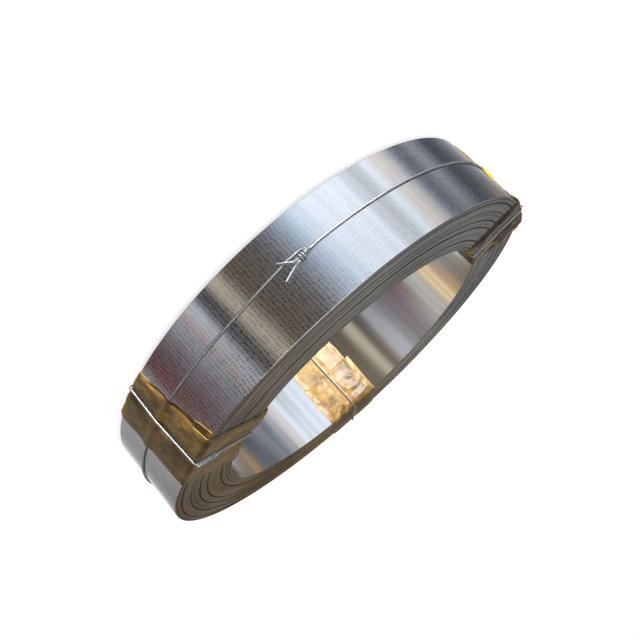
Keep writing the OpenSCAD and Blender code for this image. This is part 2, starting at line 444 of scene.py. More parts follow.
# Points across each turn's edge: one in the groove before it and two on the edge itself
POINTS_A_TURN = 3.0
# Shares of the stray by which groups of turns and single turns slip along the axis, and by which they
# wander as they go round
GROUP_SLIP = 0.55
SINGLE_SLIP = 0.2
WANDER = 0.7
CRISP_BEND = math.radians(25.0)


def wound_coil_tree():
    """The coil as one grid: out along the upper end, turn by turn, and back in along the lower end."""
    net, given, out = new_group(
        "wound coil", "GeometryNodeTree",
        [("Bore radius", "NodeSocketFloat"), ("Strip thickness", "NodeSocketFloat"),
         ("Turns", "NodeSocketInt"), ("Segments", "NodeSocketInt"), ("Low edge", "NodeSocketFloat"),
         ("High edge", "NodeSocketFloat"), ("Stray", "NodeSocketFloat"), ("Groove", "NodeSocketFloat"),
         ("Seed", "NodeSocketFloat"), ("Face finish", "NodeSocketMaterial"),
         ("Edge finish", "NodeSocketMaterial")],
        [("Coil", "NodeSocketGeometry")],
    )
    end_points = net.plus(net.times(given["Turns"], POINTS_A_TURN), 1.0)
    rows = net.times(end_points, 2.0)
    sheet = net.add("GeometryNodeMeshGrid", {
        "Size X": rows, "Size Y": 1.0,
        "Vertices X": net.plus(rows, 1.0), "Vertices Y": net.plus(given["Segments"], 1.0),
    })
    at_x, at_y, _ = net.parts(net.add("GeometryNodeInputPosition").outputs[0])
    step = net.math("MODULO", net.math("ROUND", net.plus(at_x, end_points)), rows)
    lower = net.math("GREATER_THAN", step, net.minus(end_points, 0.5))
    step = net.either(lower, net.minus(net.minus(rows, 1.0), step), step)
    turn = net.math("FLOOR", net.math("DIVIDE", net.plus(step, 0.1), POINTS_A_TURN))
    part = net.math("ROUND", net.minus(step, net.times(turn, POINTS_A_TURN)))
    share = net.math("MAXIMUM", net.minus(net.times(part, 0.5), 0.25), 0.0)
    grown = net.times(net.plus(turn, share), given["Strip thickness"])
    radius = net.plus(given["Bore radius"], grown)
    angle = net.times(net.plus(at_y, 0.5), 2 * math.pi)
    cosine = net.math("COSINE", angle)
    sine = net.math("SINE", angle)
    counted = net.math("MINIMUM", turn, net.minus(given["Turns"], 1.0))
    drawn = net.plus(counted, given["Seed"])
    group = net.add("ShaderNodeTexVoronoi", {"W": net.times(drawn, 0.13), "Scale": 1.0},
                    voronoi_dimensions="1D")
    group_slip = net.parts(group.outputs["Color"])["X"]
    single = net.add("ShaderNodeTexWhiteNoise", {"W": drawn}, noise_dimensions="1D").outputs["Value"]
    wander = net.noise(net.vector(net.times(drawn, 0.09), cosine, sine), 0.8, detail=1.0)
    slip = net.plus(net.times(group_slip, GROUP_SLIP), net.times(single, SINGLE_SLIP))
    slip = net.plus(slip, net.times(net.minus(wander, 0.4), WANDER), clamp=True)
    slip = net.times(slip, given["Stray"])
    in_groove = net.times(net.math("LESS_THAN", part, 0.5), given["Groove"])
    low = net.plus(net.plus(given["Low edge"], slip), in_groove)
    high = net.minus(net.plus(given["High edge"], slip), in_groove)
    height = net.either(lower, low, high)
    wound = net.add("GeometryNodeSetPosition", {
        "Geometry": sheet.outputs["Mesh"],
        "Position": net.vector(net.times(radius, cosine), net.times(radius, sine), height),
    })
    closed = net.add("GeometryNodeMergeByDistance", {"Geometry": wound.outputs[0], "Distance": 0.001 * MM})
    smooth = net.add("GeometryNodeSetShadeSmooth", {"Geometry": closed.outputs[0], "Shade Smooth": True},
                     domain="FACE")
    bend = net.add("GeometryNodeInputMeshEdgeAngle").outputs["Unsigned Angle"]
    crisp = net.add("GeometryNodeSetShadeSmooth", {
        "Geometry": smooth.outputs[0], "Selection": net.math("GREATER_THAN", bend, CRISP_BEND),
        "Shade Smooth": False,
    }, domain="EDGE")
    real = net.add("GeometryNodeRealizeInstances", {"Geometry": crisp.outputs[0]})
    faces = net.add("GeometryNodeSetMaterial", {
        "Geometry": real.outputs[0], "Material": given["Face finish"],
    })
    up = net.math("ABSOLUTE", net.parts(net.add("GeometryNodeInputNormal").outputs[0])["Z"])
    middle = net.add("GeometryNodeInputPosition").outputs[0]
    from_axis = net.vectors("LENGTH", net.vectors("MULTIPLY", middle, (1.0, 1.0, 0.0)))
    wound_in = net.times(given["Strip thickness"], net.minus(given["Turns"], 0.3))
    within_rim = net.math("LESS_THAN", from_axis, net.plus(given["Bore radius"], wound_in))
    on_end = net.times(net.math("GREATER_THAN", up, 0.3), within_rim)
    ends = net.add("GeometryNodeSetMaterial", {
        "Geometry": faces.outputs[0], "Selection": on_end, "Material": given["Edge finish"],
    })
    net.put(out["Coil"], ends.outputs[0])
    return net.tree


def set_inputs(modifier, values):
    """Sets a tree's inputs by the identifiers of their sockets."""
    for item in modifier.node_group.interface.items_tree:
        if item.item_type == "SOCKET" and item.in_out == "INPUT" and item.name in values:
            modifier[item.identifier] = values[item.name]


def plain_mesh(maker, name):
    """The evaluated shape of maker as a plain mesh object, in place of maker."""
    bpy.context.view_layer.update()
    shown = maker.evaluated_get(bpy.context.evaluated_depsgraph_get())
    mesh = bpy.data.meshes.new_from_object(shown)
    bpy.data.objects.remove(maker)
    mesh.name = name
    piece = bpy.data.objects.new(name, mesh)
    bpy.context.scene.collection.objects.link(piece)
    return piece


def grown(data, name, tree, values):
    """A piece made by a Geometry Nodes tree from data, as a plain mesh."""
    maker = bpy.data.objects.new(name + "_maker", data)
    bpy.context.scene.collection.objects.link(maker)
    modifier = maker.modifiers.new("made", "NODES")
    modifier.node_group = tree
    set_inputs(modifier, values)
    return plain_mesh(maker, name)


def make_coil(face_finish, edge_finish):
    """The wound strip. Mirror rays pass it by, so that the strip mirrors the studio alone."""
    coil = grown(bpy.data.meshes.new("coil_seed"), "wound_strip", wound_coil_tree(), {
        "Bore radius": BORE_R * MM, "Strip thickness": STRIP_T * MM, "Turns": TURNS,
        "Segments": COIL_SEGMENTS, "Low edge": COIL_LOW * MM, "High edge": (COIL_LOW + STRIP_W) * MM,
        "Stray": EDGE_STRAY * MM, "Groove": GROOVE * MM, "Seed": 0.0,
        "Face finish": face_finish, "Edge finish": edge_finish,
    })
    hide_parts("strip_coil")
    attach(coil, "root")
    coil.visible_glossy = False


# Wires

def drawn_wire_tree():
    net, given, out = new_group(
        "drawn wire", "GeometryNodeTree",
        [("Route", "NodeSocketGeometry"), ("Diameter", "NodeSocketFloat"), ("Sides", "NodeSocketInt"),
         ("Finish", "NodeSocketMaterial")],
        [("Wire", "NodeSocketGeometry")],
    )
    ring = net.add("GeometryNodeCurvePrimitiveCircle", {
        "Resolution": given["Sides"], "Radius": net.math("DIVIDE", given["Diameter"], 2.0),
    })
    tube = net.add("GeometryNodeCurveToMesh", {
        "Curve": given["Route"], "Profile Curve": ring.outputs["Curve"], "Fill Caps": True,
    })
    smooth = net.add("GeometryNodeSetShadeSmooth", {"Geometry": tube.outputs[0], "Shade Smooth": True})
    real = net.add("GeometryNodeRealizeInstances", {"Geometry": smooth.outputs[0]})
    finished = net.add("GeometryNodeSetMaterial", {"Geometry": real.outputs[0], "Material": given["Finish"]})
    net.put(out["Wire"], finished.outputs[0])
    return net.tree


def eased(points, step=0.7):
    """A smooth route through points (centripetal spline), with a point about every step mm."""
    points = [Vector(p) for p in points]
    route = []
    for i in range(len(points) - 1):
        p1 = points[i]
        p2 = points[i + 1]
        p0 = points[i - 1] if i else 2 * p1 - p2
        p3 = points[i + 2] if i + 2 < len(points) else 2 * p2 - p1
        t1 = max((p1 - p0).length, 1e-6) ** 0.5
        t2 = t1 + max((p2 - p1).length, 1e-6) ** 0.5
        t3 = t2 + max((p3 - p2).length, 1e-6) ** 0.5
        count = max(1, min(8, math.ceil((p2 - p1).length / step)))
        for k in range(count):
            t = t1 + (t2 - t1) * k / count
            a1 = p0.lerp(p1, t / t1)
            a2 = p1.lerp(p2, (t - t1) / (t2 - t1))
            a3 = p2.lerp(p3, (t - t2) / (t3 - t2))
            b1 = a1.lerp(a2, t / t2)
            b2 = a2.lerp(a3, (t - t1) / (t3 - t1))
            route.append(b1.lerp(b2, (t - t1) / (t2 - t1)))
    route.append(points[-1])
    return route


def mark_contact(mesh, gap):
    """Marks how closely each point of a wire lies against what it binds, gap mm off the coil, for the wire's
    painted shade: 1 is close.
    """
    contact = mesh.attributes.new("contact", "FLOAT", "POINT")
    for vertex, mark in zip(mesh.vertices, contact.data):
        x, y, z = vertex.co / MM
        radius = math.hypot(x, y)
        off_side = max(BORE_R - radius, radius - OUTER_R, 0.0)
        off_end = max(COIL_LOW - z, z - COIL_HIGH, 0.0)
        mark.value = 1 - smoothstep(math.hypot(off_side, off_end), gap + 0.2, gap + 1.2)


def make_wire(name, route, tree, finish, node, gap):
    curve = bpy.data.curves.new(name + "_route", "CURVE")
    curve.dimensions = "3D"
    spline = curve.splines.new("POLY")
    spline.points.add(len(route) - 1)
    for point, place in zip(spline.points, route):
        point.co = (place.x * MM, place.y * MM, place.z * MM, 1.0)
    wire = grown(curve, name, tree, {"Diameter": WIRE_D * MM, "Sides": WIRE_SIDES, "Finish": finish})
    mark_contact(wire.data, gap)
    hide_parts(node)
    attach(wire, "root")
    return wire


# Girth wire: its points are along the tread from the knot, up the tread, and out from it
EYE_POINTS = (
    (10.2, -6.5, 1.2), (7.8, -4.6, 1.7), (5.5, -2.8, 1.85), (3, -0.8, 1.85), (0.8, 0.8, 1.8),
    (-0.7, 1.4, 1.8), (-2.5, 1.5, 1.8), (-6, 1.5, 1.8), (-9.4, 1.5, 1.8), (-10.8, 1.1, 1.45),
    (-11.6, 0.1, 0.95), (-11.9, -1.1, 0.6), (-11.3, -2.2, 0.3), (-10, -2.9, 0.1), (-8, -3.15, 0),
    (-2, -3.2, 0), (5, -3.2, 0),
)
RISE_POINTS = ((-18, 0.4, 0), (-14.5, 0.7, 1), (-12.3, 1, 2.4), (-10.9, 1.3, 3.3))
KNOT_TAIL_POINTS = ((-2.2, 3.5, 1.5), (0.7, 3.9, 1.2), (6, 5.8, 1.4), (13, 8.3, 2.2))
WRAP_TURNS = 2.7
WRAP_START = -9.8
WRAP_PITCH = 1.3 * WIRE_D
WRAP_R = WIRE_D + 2 * SEAT
WRAP_MID = (1.5, 1.8)
EYE_DROP = 3.2
DROP_END = 18.0
# Directions of the wire's points round the coil, in degrees from the knot
RING_FIRST = 3.0
RING_LAST = 354.1
RING_STEP = 2.7


def on_tread(along, up, out):
    angle = math.radians(KNOT_ANGLE) + along / OUTER_R
    radius = GIRTH_R + out
    return (radius * math.cos(angle), radius * math.sin(angle), GIRTH_Z + up)


def girth_route():
    """Once round the coil from the eye, then up over the eye's side, round it and away in a tail."""
    route = [on_tread(*p) for p in EYE_POINTS]
    for turned in np.arange(RING_FIRST, RING_LAST, RING_STEP):
        drop = EYE_DROP * (1 - min(turned / DROP_END, 1)) ** 1.5
        route.append(on_tread(math.radians(turned) * OUTER_R, -drop, 0.0))
    route += [on_tread(*p) for p in RISE_POINTS]
    wrap_steps = 10
    for i in range(round(WRAP_TURNS * wrap_steps) + 1):
        turned = i / wrap_steps
        q = math.radians(90 + 360 * turned)
        route.append(on_tread(
            WRAP_START + WRAP_PITCH * turned,
            WRAP_MID[0] + WRAP_R * math.cos(q),
            WRAP_MID[1] + WRAP_R * math.sin(q),
        ))
    route += [on_tread(*p) for p in KNOT_TAIL_POINTS]
    return eased(route)


# Tie wires: their points are along the side from the corner, sideways, and out from the run
LIFT = PAPER_T + 2 * SEAT + WIRE_R
WIRE_BEND = PAPER_T + 0.4 + SEAT + WIRE_R
RUN_IN = BORE_R - LIFT
RUN_OUT = OUTER_R + LIFT
RUN_LOW = COIL_LOW - LIFT
RUN_HIGH = COIL_HIGH + LIFT
BOW_R = GIRTH_R + WIRE_R + PAPER_T + 2 * SEAT + WIRE_R
HOOK_POINTS = (
    (5.6, 0, 0), (3.6, -0.05, 0.2), (2.2, -0.45, 0.75),
    (1.5, -1.2, 1.35), (1.65, -2, 1.75), (2.4, -2.5, 1.85),
)
TAIL_1_POINTS = ((1.1, -0.3, 0.1), (1.8, -1.3, 0.3), (1.9, -2.9, 0.7), (1.6, -6.4, 1.8))
TAIL_2_POINTS = ((1.5, 0.4, 1.9), (3.5, 0.6, 1.8), (8, 0.2, 1.6))
TWIST_TURNS = 2
TWIST_PITCH = 3.4 * WIRE_D
TWIST_R = WIRE_R + SEAT / 2
TWIST_START = 3.0
TWIST_SIDE = -2.6
TWIST_LIFT = TWIST_R + SEAT / 2


def beside(point, on_end):
    """A point of a pigtail that lies on the upper end, or else on the tread below that end."""
    along, side, out = point
    if on_end:
        return (RUN_OUT - along, side, RUN_HIGH + out)
    return (RUN_OUT + out, side, RUN_HIGH - along)


def twist(phase, on_end):
    """One of the two wires that are twisted together into a pigtail."""
    steps = 14
    points = []
    for i in range(TWIST_TURNS * steps + 1):
        q = math.radians(phase + 360 * i / steps)
        along = TWIST_START + TWIST_PITCH * i / steps
        points.append(beside(
            (along, TWIST_SIDE + TWIST_R * math.cos(q), TWIST_LIFT + TWIST_R * math.sin(q)), on_end
        ))
    return points


def tail(points, on_end):
    """A wire's end, past the twist."""
    end = TWIST_START + TWIST_TURNS * TWIST_PITCH
    return [beside((end + along, TWIST_SIDE + side, out), on_end) for along, side, out in points]


def bend(radius, height, first, last):
    """A wire's bend round a corner of the section, between two directions in degrees."""
    steps = 6
    points = []
    for i in range(steps + 1):
        q = math.radians(first + (last - first) * i / steps)
        points.append((radius + WIRE_BEND * math.cos(q), 0.0, height + WIRE_BEND * math.sin(q)))
    return points


def over_corner(on_end):
    """The bend between the twist and the run on the neighbouring side."""
    steps = 6
    points = []
    for i in range(steps + 1):
        q = math.radians(90 * i / steps)
        along = WIRE_BEND * (1 - math.sin(q))
        points.append(beside((along, TWIST_SIDE, WIRE_BEND * (math.cos(q) - 1)), on_end))
    return points


def held_straight(points, reach=3.0):
    """The same points with two more on each long run, so that the spline keeps it straight."""
    route = [Vector(points[0])]
    for place in points[1:]:
        last = route[-1]
        place = Vector(place)
        run = place - last
        if run.length > 4 * reach:
            route.append(last + run.normalized() * reach)
            route.append(place - run.normalized() * reach)
        route.append(place)
    return route


def tie_route(angle, on_end):
    """From one tail through the twist, round the section, into the hook and through the twist again."""
    inside = RUN_IN + WIRE_BEND
    outside = RUN_OUT - WIRE_BEND
    below = RUN_LOW + WIRE_BEND
    above = RUN_HIGH - WIRE_BEND
    bow_half = 2.0
    bow_side = TWIST_SIDE / 2 if on_end else 0.0
    bow = [(BOW_R, bow_side, GIRTH_Z - bow_half), (BOW_R, bow_side, GIRTH_Z + bow_half)]
    if on_end:
        loop = bow[::-1] + bend(outside, below, 0, -90)
        loop += bend(inside, below, -90, -180) + bend(inside, above, 180, 90)
    else:
        loop = bend(inside, above, 90, 180) + bend(inside, below, 180, 270)
        loop += bend(outside, below, 270, 360) + bow
    points = tail(TAIL_1_POINTS, on_end)[::-1]
    points += twist(-90, on_end)[::-1]
    points += over_corner(on_end)
    points += loop
    points += [beside(p, on_end) for p in HOOK_POINTS]
    points += twist(90, on_end)
    points += tail(TAIL_2_POINTS, on_end)
    turned = Matrix.Rotation(math.radians(angle), 3, "Z")
    return [turned @ p for p in eased(held_straight(points))]


# Paper wraps

SHEET_T = 0.28
SHEET_BASE = 0.24
CORNER = 1.2
FLOOR_GAP = 0.33
ACROSS_COUNT = 65
ROW_STEP = 1.3

# The six values of a wrap's lists are those in the bore where the paper starts, at the bore's upper rim,
# at the tread's upper rim, at its lower rim, at the bore's lower rim and in the bore where it ends.
# back is the side of smaller angle from the wire, front the side of greater angle. start and end are
# the heights in the bore where the paper starts and ends, above the coil's lower end. fold stretches
# the folds along and across, and layer lifts the stretch that lies over the sheet's own end.
Wrap = namedtuple("Wrap", "angle seed start end back_edge front_edge back_lift front_lift back_puff "
                          "front_puff crumple fold layer crinkle ear stains swells")
# A spot's place is mm after a station and mm across from the wire, then its reach along and across.
# Painted shading darkens the paper with painted shade and shadow, below zero, or yellows it with a painted
# glow of light through it, above. Swells lift it, in mm.
Spot = namedtuple("Spot", "station after side along across amount")
WRAPS = (
    Wrap(
        angle=-50.0, seed=11.0, start=25, end=60, fold=(0.6, 0.65), layer=0.4, crinkle=1.0, ear=True,
        back_edge=(27, 30, 34, 19, 24, 27), front_edge=(36, 44, 32, 38, 36, 34),
        back_lift=(0.6, 1.2, 0.4, 0.3, 0.4, 0.4), front_lift=(0.4, 0.6, 0.3, 0.3, 0.3, 0.3),
        back_puff=(0.4, 1.6, 0.8, 0.5, 0.3, 0.3), front_puff=(0.3, 0.5, 0.6, 0.5, 0.3, 0.3),
        crumple=(0.8, 0.8, 0.8, 0.8, 0.8, 0.8),
        # Painted shadow beside the wire's upper side, on the tread and on the end
        stains=(Spot(2, 38, -1.6, 60, 2.0, -0.8), Spot(1, 28, -1.8, 40, 2.2, -0.9)),
        swells=(),
    ),
    Wrap(
        angle=78.0, seed=22.0, start=28, end=70, fold=(1.0, 2.3), layer=0.5, crinkle=0.25, ear=False,
        back_edge=(33, 33, 31, 31, 31, 31), front_edge=(33, 31, 31, 31, 29, 29),
        back_lift=(0.0, 0.0, 0.1, 0.8, 0.2, 0.0), front_lift=(0.1, 0.1, 0.1, 0.8, 0.4, 0.2),
        back_puff=(0.6, 0.4, 0.1, 0.6, 0.4, 0.4), front_puff=(0.6, 0.4, 0.1, 0.6, 0.4, 0.4),
        crumple=(2.5, 1.9, 0.1, 0.4, 0.6, 1.5),
        # Painted shade below the step of the top layer, and over the part on the upper end
        stains=(Spot(0, 6, 12, 9, 18, -0.15), Spot(1, 15, 0, 28, 60, -0.7)),
        swells=(),
    ),
    Wrap(
        angle=188.0, seed=33.0, start=30, end=4, fold=(0.9, 0.8), layer=0.4, crinkle=1.0, ear=False,
        back_edge=(30, 31, 34, 31, 31, 31), front_edge=(31, 32, 31, 31, 31, 31),
        back_lift=(0.6, 0.8, 1.2, 0.8, 0.4, 0.3), front_lift=(0.6, 0.3, 0.3, 0.15, 0.2, 0.3),
        back_puff=(0.5, 1.0, 1.8, 0.8, 0.3, 0.3), front_puff=(0.5, 0.8, 0.6, 0.3, 0.3, 0.3),
        crumple=(1.1, 1.1, 1.1, 1.1, 1.1, 1.1),
        # Painted shade over the part on the upper end, in a hollow, beside the wire and under the lifted
        # front edge; painted glow of light through the paper at the tip by the bore, beside the hollow and
        # in the wedge on the tread
        stains=(
            Spot(2, -30, 0, 60, 70, -0.4), Spot(2, -20, -11, 18, 8, -0.7), Spot(2, -30, 2.5, 50, 2.5, -0.6),
            Spot(2, -30, 31, 55, 5.5, -0.9), Spot(1, 2, 28, 6, 6, 0.8), Spot(2, -42, -17, 12, 8, 0.5),
            Spot(2, 34, 29, 22, 9, 1.0),
        ),
        swells=(
            Spot(2, -28, 22, 46, 10, 2.2), Spot(2, -18, -24, 24, 14, 3.0), Spot(2, 39, 24, 10, 10, 2.3),
        ),
    ),
)
# The ear of an inner layer that sticks out at the upper corner of the tread, in mm
EAR_FROM = 1.5
EAR_TO = 19.0
EAR_OUT = 2.2
EAR_NOTCH = 3.6
EAR_GAPE = 1.3
# How far a painted shadow, standing in for an inner layer in shade, shows past the outer one's back edge
# beside the ear, in mm
TUCK = 2.6
# Half of the tread's height over which the paper rises to cross the girth wire, and its room there, in mm
RIDGE_HALF = 7.5
RIDGE_ROOM = 0.25
# Distances from the tie wire between which the paper comes free of its pressure, in mm
PRESSED_TO = 1.3
FREE_FROM = 8.0
# Lengths along the sheet between which its first stretch stops lying over its end, in mm
LAYER_FULL = 30.0
LAYER_GONE = 70.0


def section_loop(start, end):
    """The paper's way round the section as (radius, height), and the lengths at which a wrap's values hold.

    It starts in the bore, goes up, over the upper end, down the tread, under the lower end and up
    the bore again under its own first stretch.
    """
    inner = BORE_R - SHEET_BASE
    outer = OUTER_R + SHEET_BASE
    low = COIL_LOW - SHEET_BASE
    high = COIL_HIGH + SHEET_BASE
    places = [(inner, COIL_LOW + start)]
    corners = (
        (inner + CORNER, high - CORNER, 180, 90), (outer - CORNER, high - CORNER, 90, 0),
        (outer - CORNER, low + CORNER, 0, -90), (inner + CORNER, low + CORNER, -90, -180),
    )
    arc_steps = 6
    for radius, height, first, last in corners:
        for i in range(arc_steps + 1):
            q = math.radians(first + (last - first) * i / arc_steps)
            places.append((radius + CORNER * math.cos(q), height + CORNER * math.sin(q)))
    places.append((inner, COIL_LOW + end))
    places = np.array(places)
    steps = np.linalg.norm(np.diff(places, axis=0), axis=1)
    lengths = np.concatenate([[0.0], np.cumsum(steps)])
    middles = [1 + arc_steps // 2 + (arc_steps + 1) * i for i in range(len(corners))]
    return places, lengths, [0.0] + [lengths[i] for i in middles] + [lengths[-1]]


def evenly(places, lengths, step):
    """Points along a polyline about every step mm, with the normal on its left side."""
    at = np.linspace(0.0, lengths[-1], int(lengths[-1] / step) + 1)
    points = np.stack([np.interp(at, lengths, places[:, k]) for k in (0, 1)], axis=1)
    ahead = np.gradient(points, axis=0)
    ahead /= np.linalg.norm(ahead, axis=1)[:, None]
    normals = np.stack([-ahead[:, 1], ahead[:, 0]], axis=1)
    return at, points, normals


def smoothstep(value, low, high):
    t = min(max((value - low) / (high - low), 0.0), 1.0)
    return t * t * (3 - 2 * t)


def creases(along, across, seed):
    """Soft folds and sharp creases of handled paper, about -1 to 1."""
    soft = noise.noise(Vector((along / 30.0, across / 21.0, seed)))
    sharp = 1 - 3 * abs(noise.noise(Vector((along / 21.0 + 7.0, across / 15.0, seed + 3.0))))
    fine = 1 - 3 * abs(noise.noise(Vector((along / 9.0, across / 8.0, seed + 9.0))))
    return 0.8 * soft + 0.5 * sharp + 0.16 * fine


def spots_at(spots, length, stations, across):
    """What the spots amount to at a place on the paper."""
    total = 0.0
    for spot in spots:
        off_along = (length - stations[spot.station] - spot.after) / spot.along
        off_across = (across - spot.side) / spot.across
        uneven = 1 + 0.5 * noise.noise(Vector((length / 7.0, across / 7.0, spot.after)))
        total += spot.amount * (1 - smoothstep(uneven * math.hypot(off_along, off_across), 0.4, 1.0))
    return total


def at_ear(wrap, length, stations):
    """1 beside the ear, 0 away from it."""
    after = length - stations[2]
    if not wrap.ear:
        return 0.0
    return smoothstep(after, 0.0, EAR_FROM) * (1 - smoothstep(after, EAR_TO - 4.0, EAR_TO))


def painted_tuck_shadow(wrap, length, stations, from_edge):
    """Painted shadow standing in for an inner layer past the outer one's back edge, with a pale edge line,
    partly painted highlight, between them.
    """
    if not wrap.ear:
        return 0.0
    run = smoothstep(length, stations[1] + 4, stations[1] + 12)
    run *= 1 - smoothstep(length, stations[3] - 20, stations[3] - 6)
    run *= 1 - at_ear(wrap, length, stations)
    reach = TUCK * (0.8 + 0.5 * noise.noise(Vector((length / 17.0, 2.0, wrap.seed))))
    # Painted shadow, dark, and a pale line that is partly painted highlight, pale
    dark = 1 - smoothstep(from_edge, 0.7 * reach, reach)
    pale = max(0.0, 1 - abs(from_edge - reach - 0.9) / 0.9)
    return run * (0.25 * pale - 0.9 * dark)


def paper_lift(wrap, length, stations, height, out_r, share, across):
    """How far the paper stands off its tightest shape."""
    back = share < 0
    edge_lift = np.interp(length, stations, wrap.back_lift if back else wrap.front_lift)
    puff = np.interp(length, stations, wrap.back_puff if back else wrap.front_puff)
    side = math.copysign(1.0, share)
    far = abs(share)
    free = smoothstep(abs(across), PRESSED_TO, FREE_FROM)
    lift = free * (0.3 + puff * math.sin(math.pi * min(far, 0.5)))
    crumple = np.interp(length, stations, wrap.crumple)
    lift += free * crumple * max(creases(length / wrap.fold[0], across / wrap.fold[1], wrap.seed), -0.9)
    lift *= 1 - 0.9 * smoothstep(far, 0.8, 1.0)
    flutter = 0.85 + 0.6 * noise.noise(Vector((length / 24.0, 5.0 * side, wrap.seed)))
    lift += edge_lift * flutter * smoothstep(far, 0.5, 1.0)
    lift += flutter * spots_at(wrap.swells, length, stations, across)
    if back:
        lift += EAR_GAPE * at_ear(wrap, length, stations) * smoothstep(far, 0.7, 1.0)
    if out_r > 0.5:
        ridge = max(0.0, 1 - abs(height - GIRTH_Z) / RIDGE_HALF)
        lift = max(lift, (WIRE_D + RIDGE_ROOM) * smoothstep(ridge, 0.0, 0.9))
    return max(lift, 0.0)


def sheet_piece(name, grids, finish, crinkle):
    """Grids of (point in mm, place on the sheet, painted shade and glow value) with so many columns, as thin
    closed sheets.
    """
    spots = []
    faces = []
    for grid, columns in grids:
        first = len(spots)
        spots.extend(grid)
        for i in range(len(grid) // columns - 1):
            for j in range(columns - 1):
                a = first + i * columns + j
                faces.append((a, a + 1, a + columns + 1, a + columns))
    mesh = bpy.data.meshes.new(name + "_flat")
    mesh.from_pydata([Vector(point) * MM for point, _, _ in spots], [], faces)
    uv = mesh.uv_layers.new(name="sheet")
    for loop in mesh.loops:
        uv.data[loop.index].uv = spots[loop.vertex_index][1]
    # The shade attribute carries painted shade and painted glow to the paper's material
    shades = mesh.attributes.new("shade", "FLOAT", "POINT")
    for mark, (_, _, shade) in zip(shades.data, spots):
        mark.value = shade
    crinkles = mesh.attributes.new("crinkle", "FLOAT", "POINT")
    for mark in crinkles.data:
        mark.value = crinkle
    for polygon in mesh.polygons:
        polygon.use_smooth = True
    mesh.materials.append(finish)
    maker = bpy.data.objects.new(name + "_maker", mesh)
    bpy.context.scene.collection.objects.link(maker)
    thick = maker.modifiers.new("thickness", "SOLIDIFY")
    thick.thickness = SHEET_T * MM
    thick.offset = 0.0
    return plain_mesh(maker, name)


def ear_grid(wrap, stations, total, turned):
    """The ear: a corner of an inner layer, against the tread, with its tip turned out."""
    columns = 13
    rows = 21
    grid = []
    for i in range(rows):
        after = EAR_FROM + (EAR_TO - EAR_FROM) * i / (rows - 1)
        length = stations[2] + after
        edge = np.interp(length, stations, wrap.back_edge)
        reach = edge + EAR_OUT + 1.6 * (1 - smoothstep(after, 2.0, 10.0)) - 0.25 * max(after - 14.0, 0.0)
        height = COIL_HIGH + SHEET_BASE - after
        for j in range(columns):
            out = j / (columns - 1)
            across = -(edge - 7.0 + (reach - edge + 7.0) * out)
            tip = smoothstep(out, 0.6, 1.0) * (1 - smoothstep(after, 2.0, 9.0))
            r = OUTER_R + SHEET_BASE + 0.05 + 0.5 * smoothstep(out, 0.5, 1.0) + 1.2 * tip
            # Painted shade in the ear's hollow, a paler rim that is partly painted highlight, and a painted
            # glow of light through its tip
            lit = smoothstep(out, 0.3, 0.5) * (1 - smoothstep(after, 3.0, 6.0))
            shade = -0.5 + 0.65 * smoothstep(out, 0.84, 0.96) + 1.4 * lit
            point = turned @ Vector((math.sqrt(r * r - across * across), across, height))
            grid.append((point, (length / total, 0.2), shade))
    return grid, columns


def make_paper(name, wrap, finish, node):
    """One wrap: a sheet round the section, pressed by the wire, its edges lifting."""
    places, lengths, stations = section_loop(wrap.start, wrap.end)
    at, points, normals = evenly(places, lengths, ROW_STEP)
    turned = Matrix.Rotation(math.radians(wrap.angle), 3, "Z")
    grid = []
    for length, (radius, height), (out_r, out_z) in zip(at, points, normals):
        top_layer = wrap.layer * (1 - smoothstep(length, LAYER_FULL, LAYER_GONE))
        back_edge = np.interp(length, stations, wrap.back_edge)
        back_edge -= EAR_NOTCH * at_ear(wrap, length, stations)
        front_edge = np.interp(length, stations, wrap.front_edge)
        for share in np.linspace(-1.0, 1.0, ACROSS_COUNT):
            side = math.copysign(3.0, share)
            ragged = 1.0 + 0.03 * noise.noise(Vector((length / 19.0, side, wrap.seed)))
            across = share * (back_edge if share < 0 else front_edge) * ragged
            lift = top_layer + paper_lift(wrap, length, stations, height, out_r, share, across)
            r = radius + out_r * lift
            z = max(height + out_z * lift, FLOOR_GAP)
            point = turned @ Vector((math.sqrt(r * r - across * across), across, z))
            # The shade mark here is painted shade and painted glow, from the spots and the tuck
            shade = spots_at(wrap.stains, length, stations, across)
            if share < 0:
                shade += painted_tuck_shadow(wrap, length, stations, (1 + share) * back_edge)
            grid.append((point, (length / at[-1], 0.5 + 0.5 * share), shade))
    grids = [(grid, ACROSS_COUNT)]
    if wrap.ear:
        grids.append(ear_grid(wrap, stations, at[-1], turned))
    paper = sheet_piece(name, grids, finish, wrap.crinkle)
    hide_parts(node)
    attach(paper, "root")
    return paper


# Floor, light and camera

FLOOR_REACH = 6.0


def make_floor():
    """A pale floor, which glows a little so that it stays as plain as the background."""
    mesh = bpy.data.meshes.new("floor")
    corners = [(x * FLOOR_REACH, y * FLOOR_REACH, 0) for x, y in ((-1, -1), (1, -1), (1, 1), (-1, 1))]
    mesh.from_pydata(corners, [], [(0, 1, 2, 3)])
    floor = bpy.data.objects.new("floor", mesh)
    bpy.context.scene.collection.objects.link(floor)
    material, _, shader = new_material("pale_floor")
    shader["Base Color"].default_value = (0.9, 0.9, 0.9, 1.0)
    shader["Roughness"].default_value = 1.0
    shader["Specular IOR Level"].default_value = 0.0
    shader["Emission Color"].default_value = (1.0, 1.0, 1.0, 1.0)
    shader["Emission Strength"].default_value = 0.75
    mesh.materials.append(material)
    floor.visible_glossy = False
    floor.visible_diffuse = False
    floor.visible_transmission = False
    floor.visible_shadow = False


